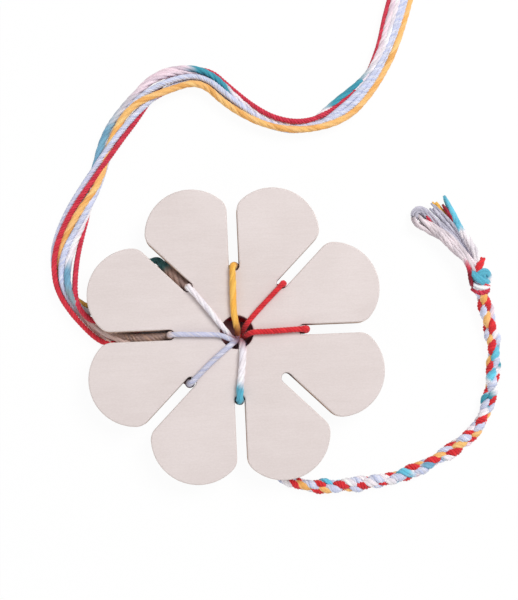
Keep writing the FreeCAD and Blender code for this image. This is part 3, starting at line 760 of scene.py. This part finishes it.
# How much each varies in the braid, over what length, and the seed where strands share it
UNEVEN_MOVES = (0.8, 8, 92)
UNEVEN_SPIRAL = (40, 19, 90)
UNEVEN_SIZE = (0.12, 6, 91)
UNEVEN_ANGLE = (12, 4)
UNEVEN_BOW = (0.3, 6)
# By the millimetre along the braid: where the hole's painted shade ends, and the strands' dyes
BRAID_FADE = (3, 8)
BRAID_DYES = {
    "north": [(0, ORANGE)],
    "northeast": [(0, RED)],
    "east": [(0, RED)],
    "southwest": [(0, LILAC)],
    "west": [(0, LILAC)],
    "northwest": [
        (0, PINK), (62, WHITE), (63, TURQUOISE), (68, TURQUOISE), (70, WHITE), (86, WHITE),
        (87, TURQUOISE), (92, TURQUOISE), (94, PINK), (112, WHITE), (126, WHITE), (127, TEAL),
        (131, TEAL), (133, WHITE), (140, WHITE), (141, TEAL), (146, TEAL), (149, WHITE),
    ],
    "south": [
        (0, WHITE), (62, WHITE), (63, TURQUOISE), (68, TURQUOISE), (70, WHITE), (85, WHITE),
        (86, TURQUOISE), (91, TURQUOISE), (93, WHITE), (96, WHITE), (97, BLUE), (103, BLUE),
        (105, WHITE), (112, PINK), (124, WHITE), (125, TEAL), (131, TEAL), (133, WHITE),
        (136, WHITE), (137, TURQUOISE), (147, TURQUOISE), (149, WHITE), (160, PINK), (170, WHITE),
    ],
}


def braid_strand(strand, places, run, across, above, seed):
    """The line of one strand of the braid and its shape: outward, width and depth."""
    at = np.arange(0, run[-1], BRAID_STEP * MM)
    moves = at / MM / LAY_RISE - strand + LAY_START + wander(at, *UNEVEN_MOVES)
    cycle = np.floor(moves / STRANDS)
    share = moves / STRANDS - cycle
    bow = np.sin(math.pi * share) ** BOW_POWER
    near = np.where(share > 0.5, share - 1, share) * STRANDS
    crossed = cycle + (share > 0.5) + 0.5 * np.tanh(near / CROSSING_MOVES)
    lean = CROSSING * (moves / STRANDS - crossed)
    slow = SPIRAL * at / MM / LAY_RISE / STRANDS + wander(at, *UNEVEN_SPIRAL)
    slow += wander(at, *UNEVEN_ANGLE, seed)
    upward = math.atan2(above[len(run) // 2][2], across[len(run) // 2][2])
    turned = upward + np.radians(FACING + STRAND_STEP * strand + lean + slow)
    head = np.clip(HEAD_SHARE + at / MM / HEAD_TAPER, HEAD_SHARE, 1)
    size = 1 + wander(at, *UNEVEN_SIZE)
    radius = (CORE_RADIUS + (BOW_RADIUS - CORE_RADIUS) * bow) * head * size
    radius *= 1 + wander(at, *UNEVEN_BOW, seed + 1)
    flat = np.column_stack([radius * np.cos(turned), radius * np.sin(turned)])
    kernel = np.hanning(SMOOTHING) / np.hanning(SMOOTHING).sum()
    for axis in range(2):
        padded = np.pad(flat[:, axis], SMOOTHING // 2, "edge")
        flat[:, axis] = np.convolve(padded, kernel, "valid")
    middle, side, top = (read_off(at, run, field) for field in (places, across, above))
    line = middle + MM * (flat[:, :1] * side + flat[:, 1:] * top)
    outward = np.cos(turned)[:, None] * side + np.sin(turned)[:, None] * top
    full = size * (YELLOW_SIZE if STRAND_ORDER[strand] == "north" else 1)
    wide = MM * (STRAND_WIDE[0] + (STRAND_WIDE[1] - STRAND_WIDE[0]) * bow) * full
    deep = MM * (STRAND_DEEP[0] + (STRAND_DEEP[1] - STRAND_DEEP[0]) * bow) * full
    return line, (outward, wide, deep)


def add_joined(name, meshes):
    """One piece that holds all the given meshes."""
    pieces = [add_object("part", mesh) for mesh in meshes]
    with bpy.context.temp_override(active_object=pieces[0], selected_editable_objects=pieces):
        bpy.ops.object.join()
    mesh = pieces[0].data
    mesh.name = name
    bpy.data.objects.remove(pieces[0])
    return add_piece(name, mesh)


def add_braid():
    """The braid: seven plied strands laid over one another."""
    places, _, run = evenly(spline_line("braid", BRAID), 0.5 * MM)
    across, above = frames(places)
    meshes = []
    for strand, name in enumerate(STRAND_ORDER):
        seed = 100 + 10 * strand
        line, shape = braid_strand(strand, places, run, across, above, seed)
        stops = shaded_in_hole(BRAID_DYES[name], *BRAID_FADE)
        stops = [(at / BRAID_STEP, dye) for at, dye in stops]
        meshes.append(yarn_mesh("strand", line, YARNS[name]["make"], stops, seed, shape)[0])
    piece = add_joined("braid_of_seven", meshes)
    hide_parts("braid")
    return piece, places


# The knot's frame: its foot on the braid, the way along it, to its right and up
KNOT_FOOT = np.array([83.2, 11.0, 3.64])
KNOT_AHEAD = np.array([-0.209, 0.973, 0.102])
KNOT_RIGHT = np.array([0.978, 0.21, 0.0])
KNOT_UP = np.cross(KNOT_RIGHT, KNOT_AHEAD)

# Each loop of yarn in the knot: its make, half width, dyes by the share of its length, and places
# along the knot, to its right and up
KNOT_LOOPS = [
    ("red", 1.1, [(0, CRIMSON)], [
        (1.6, -2.6, -0.4), (0.2, -2.1, 1.3), (-0.6, -0.3, 2.0), (-0.5, 1.3, 1.5), (0.2, 2.2, 0.2),
        (0.8, 1.6, -1.2),
    ]),
    ("variegated", 1.05, [(0, WHITE)], [
        (3.4, -2.8, 0.0), (1.9, -2.3, 1.6), (0.9, -0.4, 2.3), (0.9, 1.2, 2.1), (1.7, 2.5, 1.0),
        (2.4, 2.7, -0.6),
    ]),
    ("red", 0.6, [(0, RED)], [
        (2.9, -0.8, 1.9), (2.1, 0.5, 2.7), (1.3, 1.8, 2.2), (1.0, 2.7, 1.0), (1.2, 2.7, -0.4),
    ]),
    ("variegated", 1.5, [(0, KNOT_BLUE), (0.62, KNOT_BLUE), (0.8, WHITE)], [
        (5.2, -1.8, 0.6), (5.3, -0.6, 2.1), (6.1, 0.9, 2.1), (5.9, 2.6, 1.3), (4.4, 3.3, 0.6),
        (2.8, 3.0, -0.1), (1.9, 1.8, -1.2),
    ]),
    ("variegated", 1.45, [(0, KNOT_BLUE)], [
        (6.6, -0.2, -1.6), (6.9, -1.7, -0.2), (6.3, -2.0, 1.3), (4.6, -1.1, 2.4), (3.2, 0.1, 2.5),
        (2.5, 1.7, 1.7), (2.2, 2.4, 0.2),
    ]),
    ("variegated", 1.2, [(0, KNOT_BLUE)], [
        (3.0, 0.9, 1.0), (4.0, 1.1, 2.0), (5.2, 0.9, 2.1), (6.4, 0.3, 1.2),
    ]),
    ("red", 0.85, [(0, MAROON), (0.6, MAROON), (0.8, CRIMSON), (1, PINK)], [
        (0.4, -1.9, 0.2), (2.2, -2.9, 0.9), (4.6, -3.2, 1.2), (6.8, -2.9, 1.5), (9.4, -2.9, 1.5),
        (12.2, -3.4, 0.8),
    ]),
]
# Each turn round the knot's underside: its make, dye, place along the knot, radius, first and last
# angle, counted from the right over the top, and half width
KNOT_TURNS = [
    ("variegated", TURQUOISE, 5.2, 2.1, 165, 375, 1.15),
    ("lilac", PINK, 2.9, 2.15, 165, 375, 1.0),
    ("red", CRIMSON, 0.8, 2.05, 160, 380, 1.0),
]
TURN_POINTS = 8
# The depth of a loop or turn, as a share of its width
LOOP_DEPTH = 0.9
# The strands inside the knot: their makes and dyes, how far along the knot and how far out their
# points lie, and the degrees from strand to strand and for each millimetre along
KNOT_CORE = [
    ("red", CRIMSON), ("lilac", LILAC), ("variegated", TURQUOISE), ("red", RED),
    ("variegated", TEAL),
]
CORE_PLACES = [(-1.2, 0.9), (1.0, 1.4), (3.5, 1.4), (6.0, 1.4), (8.2, 0.9)]
CORE_STEP = 72
CORE_TWIST = 22


def knot_place(along, right, up):
    return KNOT_FOOT + KNOT_AHEAD * along + KNOT_RIGHT * right + KNOT_UP * up


def ring_place(along, radius, angle):
    return knot_place(along, radius * math.cos(angle), radius * math.sin(angle))


def knot_loop(make, half, dyes, route, seed):
    """A loop of yarn that lies flat against the knot."""
    line = spline_line("knot", route)
    along = (line / MM - KNOT_FOOT) @ KNOT_AHEAD
    outward = unit_rows(line - (KNOT_FOOT + KNOT_AHEAD * along[:, None]) * MM)
    full = np.full(len(line), half * MM)
    stops = [(at * (len(line) - 1), dye) for at, dye in dyes]
    return yarn_mesh("loop", line, make, stops, seed, (outward, full, LOOP_DEPTH * full))[0]


def add_knot():
    """The knot: loops and turns of yarn round the strands that go through it."""
    meshes = []
    for i, (make, half, dyes, places) in enumerate(KNOT_LOOPS):
        route = [knot_place(*place) for place in places]
        meshes.append(knot_loop(make, half, dyes, route, 300 + 10 * i))
    for i, (make, dye, along, radius, first, last, half) in enumerate(KNOT_TURNS):
        angles = np.radians(np.linspace(first, last, TURN_POINTS))
        route = [ring_place(along, radius, angle) for angle in angles]
        meshes.append(knot_loop(make, half, [(0, dye)], route, 380 + 5 * i))
    for i, (make, dye) in enumerate(KNOT_CORE):
        route = []
        for along, radius in CORE_PLACES:
            angle = math.radians(CORE_STEP * i + CORE_TWIST * along)
            route.append(ring_place(along, radius, angle))
        line = spline_line("knot", route)
        meshes.append(yarn_mesh("core", line, make, [(0, dye)], 400 + 10 * i)[0])
    piece = add_joined("knot_of_yarn", meshes)
    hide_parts("braid_knot")
    return piece


# Each cut end of the tassel: its make, plies and their radius, how much it splays towards its tip,
# its dyes by the share of its length, and its places from the knot to its tip
TASSEL = {
    "turquoise": ("variegated", 4, 0.78, -0.6,
        [(0, WHITE), (0.5, WHITE), (0.56, TURQUOISE), (1, TURQUOISE)], [
        (82.5, 17.7, 5.0), (82.1, 22.2, 5.2), (79.6, 28.0, 4.6), (76.8, 33.7, 3.8),
        (75.0, 39.0, 3.2), (72.8, 45.0, 2.6),
    ]),
    "red_stub": ("red", 3, 0.8, -0.2, [(0, RED)], [
        (81.2, 16.4, 5.4), (82.2, 19.1, 6.2), (83.3, 21.2, 6.6), (84.1, 22.4, 6.7),
    ]),
    "white": ("variegated", 8, 0.68, 0.25, [(0, CUT_WHITE)], [
        (81.3, 17.7, 5.0), (78.7, 21.8, 5.2), (75.2, 25.9, 4.8), (71.0, 30.4, 4.2),
        (66.8, 33.4, 3.6), (63.0, 35.6, 3.2), (62.7, 37.8, 2.8),
    ]),
    "lilac": ("lilac", 7, 0.66, -0.2, [(0, CUT_LILAC)], [
        (81.2, 17.9, 4.0), (80.0, 22.6, 3.4), (76.6, 28.0, 2.8), (72.2, 32.8, 2.4),
        (67.8, 36.8, 2.4), (64.8, 39.9, 2.4), (62.2, 38.8, 2.4), (62.4, 35.8, 2.4),
    ]),
    "lilac_inner": ("lilac", 5, 0.66, 0.2, [(0, CUT_LILAC)], [
        (82.0, 17.8, 4.2), (81.4, 23.0, 4.2), (78.6, 28.6, 3.6), (74.9, 34.0, 3.0),
        (71.0, 38.2, 2.6), (67.8, 41.2, 2.4),
    ]),
    "yellow": ("yellow", 4, 0.6, 0.3, [(0, GOLD)], [
        (82.8, 18.0, 3.0), (82.1, 23.2, 2.6), (79.4, 29.1, 1.8), (75.9, 34.2, 1.6),
        (72.2, 38.4, 1.9), (69.4, 42.7, 2.2),
    ]),
    "red": ("red", 4, 0.4, -0.2, [(0, PINK), (0.35, CRIMSON), (1, MAROON)], [
        (81.8, 17.9, 3.4), (81.2, 23.2, 3.4), (79.0, 29.0, 3.4), (76.6, 33.8, 3.6),
        (73.8, 38.1, 3.6), (71.6, 41.8, 3.4),
    ]),
}
# A small red end that looks out beside the white one, as part of it
RED_TIP = (2, 0.42, 0.0, [(0, CRIMSON)], [
    (68.7, 34.2, 2.6), (67.2, 35.4, 3.8), (66.0, 36.5, 4.6), (65.1, 37.4, 4.9),
])
RED_TIP_SEED = 9
# The distance from point to point along an end, how closely its plies lie, their turns round one
# another, and how far apart they start
END_STEP = 0.8
PLY_CLOSENESS = 0.82
END_TURNS = 0.5
PLY_SPREAD = 0.8
UNEVEN_PLY_ANGLE = (0.5, 6)
UNEVEN_PLY_SPREAD = (0.25, 5)
# The most that a ply is cut short by, and as shares of the radius its middle's least height and the
# sizes of every other ply
CUT_SHORT = 1.6
PLY_CLEARANCE = 1.14
PLY_SIZES = (0.96, 1.12)
# How much a ply thins towards its tip, how late, the sizes of its last points, and its light
PLY_THINNING = 0.2
THINNING_POWER = 4
TIP_SIZES = (0.95, 0.85, 0.6)
PLY_LIGHT = (0.88, 1.06)


def tassel_end(name, plies, radius, splay, dyes, places, seed):
    """One cut end as its own plies, together at the knot and splayed or closed up at the tip."""
    middle, _, run = evenly(spline_line(name, places), END_STEP * MM)
    across, above = frames(middle)
    share = run / run[-1]
    ring = PLY_CLOSENESS * radius / math.sin(math.pi / plies)
    chance = random.Random(500 + seed)
    meshes = []
    for i in range(plies):
        angle = 2 * math.pi * (i / plies + END_TURNS * share)
        angle += wander(run, *UNEVEN_PLY_ANGLE, 510 + 10 * seed + i)
        out = ring * (PLY_SPREAD + splay * share**2)
        out = out * (1 + wander(run, *UNEVEN_PLY_SPREAD, 530 + 10 * seed + i)) * MM
        kept = 1 - chance.uniform(0, CUT_SHORT) * MM / run[-1]
        last = max(4, round(len(run) * kept))
        sideways = np.cos(angle)[:, None] * across + np.sin(angle)[:, None] * above
        line = (middle + out[:, None] * sideways)[:last]
        line[:, 2] = np.maximum(line[:, 2], (PLY_CLEARANCE * radius + TABLE_GAP) * MM)
        size = np.full(len(line), radius * PLY_SIZES[i % 2] * MM)
        size *= 1 - PLY_THINNING * share[:last] ** THINNING_POWER
        size[-len(TIP_SIZES):] *= TIP_SIZES
        light = chance.uniform(*PLY_LIGHT)
        stops = [(at * (len(run) - 1), tuple(light * c for c in dye)) for at, dye in dyes]
        shape = (sideways[:last], size, size)
        meshes.append(yarn_mesh("ply", line, "loose", stops, 600 + 70 * seed + 9 * i, shape)[0])
    return meshes


def add_tassel():
    pieces = []
    for seed, (name, end) in enumerate(TASSEL.items()):
        meshes = tassel_end(name, *end[1:], seed)
        if name == "white":
            meshes += tassel_end(name, *RED_TIP, RED_TIP_SEED)
        piece = add_joined("tassel_end_" + name, meshes)
        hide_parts("tassel_" + name)
        pieces.append(piece)
    return pieces


WOOD_SHADER = {"Roughness": 0.75, "Specular IOR Level": 0.3}
WOOD_PALE = srgb(227, 216, 214)
WOOD_DARK = srgb(214, 202, 199)
WALL_OUTER = srgb(222, 202, 188)
WALL_LAYER = srgb(184, 158, 142)
# The cut's brown on the walls near the middle, darkened further by painted shade
INNER_WALL_BURN_AND_SHADE = srgb(92, 60, 52)
# The hole's wall: darker by painted shade, pinker by a painted reflection of the red yarns
HOLE_WALL_SHADE_AND_REFLECTION = srgb(168, 112, 122)
# The marks on the wood's faces: repeats along x, y and z, detail, from where to where the noise
# shows, and how dark it gets
WOOD_GRAIN = ((55, 950, 55), 4.0, 0.3, 0.7, 0.16)
WOOD_FIBRE = ((260, 4200, 260), 2.0, 0.3, 0.7, 0.16)
WOOD_SPECKLE = ((1500, 2600, 1500), 3.0, 0.35, 0.65, 0.3)
WOOD_MOTTLE = ((38, 60, 60), 2.0, 0.3, 0.7, 0.38)
WOOD_BUMP = (0.35, 0.00005)
# In the walls, the heights between which the plywood's middle layer starts and ends, and the
# distances between which the painted shade of the inner walls and of the hole's wall ends
LAYER_START = (0.0060, 0.0062)
LAYER_END = (0.0076, 0.0078)
INNER_END = (0.021, 0.026)
HOLE_END = (0.008, 0.01)
# How far a wall's and a face's normals point up
WALL_TO_FACE = (0.15, 0.75)


def wood_marks(tree, place, stretch, detail, low, high, dark):
    return ramp(tree, stretched_noise(tree, place, stretch, detail), low, high, 0, dark)


def wood_material():
    """Pale plywood, fine grain on its faces; walls browned by the cut and by painted shade."""
    material, tree, shader = shaded_material("pale_plywood", WOOD_SHADER)
    place = node(tree, "TexCoord").outputs["Object"]
    marks = wood_marks(tree, place, *WOOD_GRAIN)
    for kind in (WOOD_FIBRE, WOOD_SPECKLE):
        marks = math_node(tree, "ADD", marks, wood_marks(tree, place, *kind))
    dark = math_node(tree, "ADD", marks, wood_marks(tree, place, *WOOD_MOTTLE))
    face = mixed_colour(tree, dark, WOOD_PALE, WOOD_DARK)
    height = node(tree, "SeparateXYZ", {"Vector": place}).outputs["Z"]
    layer = math_node(
        tree, "MULTIPLY",
        ramp(tree, height, *LAYER_START, 0, 1),
        ramp(tree, height, *LAYER_END, 1, 0),
    )
    far = distance(tree, place, (0, 0, 0), (1, 1, 0))
    wall = mixed_colour(tree, layer, WALL_OUTER, WALL_LAYER)
    wall = mixed_colour(tree, ramp(tree, far, *INNER_END, 1, 0), wall, INNER_WALL_BURN_AND_SHADE)
    wall = mixed_colour(tree, ramp(tree, far, *HOLE_END, 1, 0), wall, HOLE_WALL_SHADE_AND_REFLECTION)
    normal = node(tree, "NewGeometry").outputs["Normal"]
    upward = node(tree, "SeparateXYZ", {"Vector": normal}).outputs["Z"]
    upright = ramp(tree, math_node(tree, "ABSOLUTE", upward), *WALL_TO_FACE, 1, 0)
    colour = mixed_colour(tree, upright, face, wall)
    finish_shader(tree, shader, colour, marks, *WOOD_BUMP)
    return material


def dress_disc():
    wood = wood_material()
    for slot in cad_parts["wooden_disc"].material_slots:
        slot.material = wood


WHITE_PAPER = srgb(247, 247, 247)
# Pinkish brown painted shade on the paper under the hole
HOLE_FLOOR_PAINTED_SHADE = srgb(176, 120, 124)
PAPER_REACH = 1.5
PAPER_GLOW = 0.95
# Where the paper keeps its own shade: a place, its stretch, and between which distances it ends
PAPER_SHADE = [
    ((0, 0, 0), (1, 1, 1), 0.008, 0.014),
    ((-0.031, -0.0005, 0), (0.42, 1, 1), 0.0045, 0.006),
    ((-0.0178, 0.0178, 0), (1, 1, 1), 0.0052, 0.007),
    ((-0.0215, 0.0215, 0), (1, 1, 1), 0.0038, 0.0048),
]
# The distances between which the painted shade under the hole ends
HOLE_FLOOR_SHADE_REACH = (0.006, 0.0085)


def paper_material():
    """Paper white to the camera but for shade behind the yarns and painted shade under the hole."""
    material = bpy.data.materials.new("white_paper")
    material.use_nodes = True
    tree = material.node_tree
    tree.nodes.remove(tree.nodes["Principled BSDF"])
    place = node(tree, "TexCoord").outputs["Object"]
    glow_share = PAPER_GLOW
    for centre, stretch, low, high in PAPER_SHADE:
        far = distance(tree, place, centre, stretch)
        glow_share = math_node(tree, "MULTIPLY", ramp(tree, far, low, high, 0, 1), glow_share)
    far = distance(tree, place, (0, 0, 0), (1, 1, 1))
    colour = mixed_colour(tree, ramp(tree, far, *HOLE_FLOOR_SHADE_REACH, 1, 0), WHITE_PAPER, HOLE_FLOOR_PAINTED_SHADE)
    paper = node(tree, "BsdfDiffuse", {"Color": colour}).outputs[0]
    glow = node(tree, "Emission", {"Strength": 1.0}).outputs[0]
    seen = node(tree, "LightPath").outputs["Is Camera Ray"]
    glow_share = math_node(tree, "MULTIPLY", seen, glow_share)
    mix = node(tree, "MixShader", {0: glow_share, 1: paper, 2: glow})
    tree.links.new(mix.outputs[0], tree.nodes["Material Output"].inputs["Surface"])
    return material


def add_floor():
    reach = PAPER_REACH
    corners = [(-reach, -reach, 0), (reach, -reach, 0), (reach, reach, 0), (-reach, reach, 0)]
    mesh = bpy.data.meshes.new("white_paper")
    mesh.from_pydata(corners, [], [(0, 1, 2, 3)])
    mesh.materials.append(paper_material())
    add_object("white_paper", mesh)


# Each lamp: its place, the point that it faces, its size and its power in watts
LAMPS = {
    "window": ((0.45, 0.35, 0.8), (0, 0, 0), 0.5, 7.1),
    "room": ((-0.5, -0.5, 0.3), (-0.02, 0, 0), 0.6, 1.6),
}
WORLD_LIGHT = 0.42


def add_lamps():
    for name, (place, target, size, power) in LAMPS.items():
        data = bpy.data.lights.new(name, "AREA")
        data.size = size
        data.energy = power
        lamp = add_object(name, data)
        lamp.location = place
        lamp.rotation_mode = "QUATERNION"
        lamp.rotation_quaternion = (Vector(target) - Vector(place)).to_track_quat("-Z", "Y")


def add_world():
    """Even light from all round, white to the camera."""
    world = bpy.data.worlds.new("studio")
    world.use_nodes = True
    tree = world.node_tree
    light = tree.nodes["Background"]
    light.inputs["Color"].default_value = (1, 1, 1, 1)
    light.inputs["Strength"].default_value = WORLD_LIGHT
    white = node(tree, "Background", {"Color": (1, 1, 1), "Strength": 1.0}).outputs[0]
    seen = node(tree, "LightPath").outputs["Is Camera Ray"]
    mix = node(tree, "MixShader", {0: seen, 1: light.outputs[0], 2: white})
    tree.links.new(mix.outputs[0], tree.nodes["World Output"].inputs["Surface"])
    bpy.context.scene.world = world


add_camera()
add_yarns()
braid, braid_places = add_braid()
knot = add_knot()
tassel = add_tassel()
dress_disc()
add_floor()
add_lamps()
add_world()
bpy.context.scene.view_settings.view_transform = "Standard"
